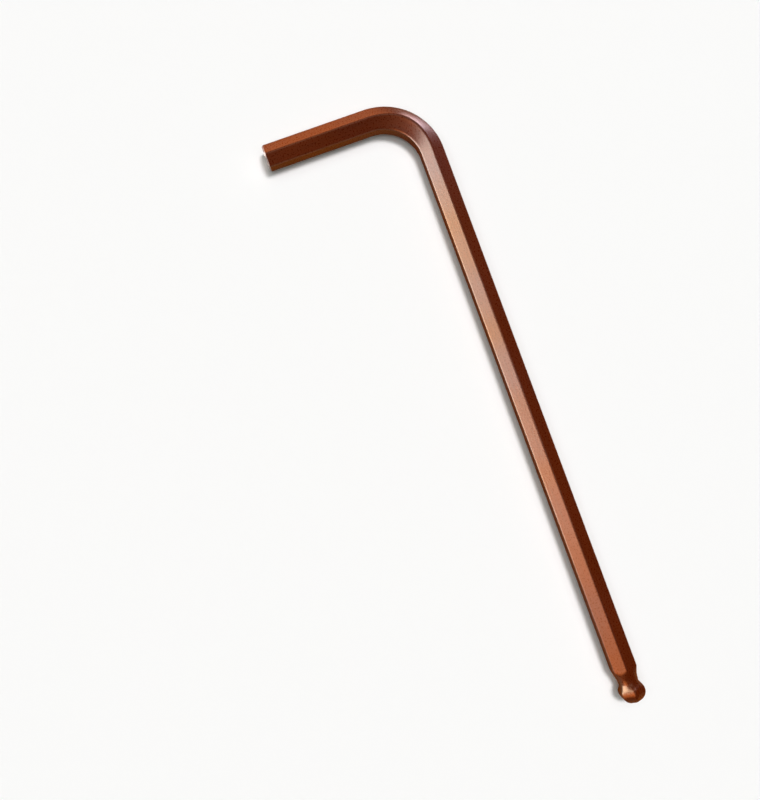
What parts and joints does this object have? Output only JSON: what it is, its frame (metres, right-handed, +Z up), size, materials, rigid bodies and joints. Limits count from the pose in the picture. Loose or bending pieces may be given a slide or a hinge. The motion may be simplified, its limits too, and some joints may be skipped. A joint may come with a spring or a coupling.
{
  "type": "hex key",
  "caption": "L-shaped hex key of 4 mm hexagonal steel bar, with a ball end on its long arm and a square-cut end on its short arm.",
  "frame": {"origin": "on the ground, under the middle of the key's outer box", "axes": "+X along the long arm to its ball end, -Y along the short arm to its cut end, +Z up from the ground, square to the plane of the L"},
  "size_m": [0.1077, 0.0292, 0.0045],
  "materials": {
    "steel": "copper-brown finish on drawn steel, glossy, with fine lines along the bar"
  },
  "bodies": {
    "root": {"hex_key": "steel"}
  },
  "joints": []
}
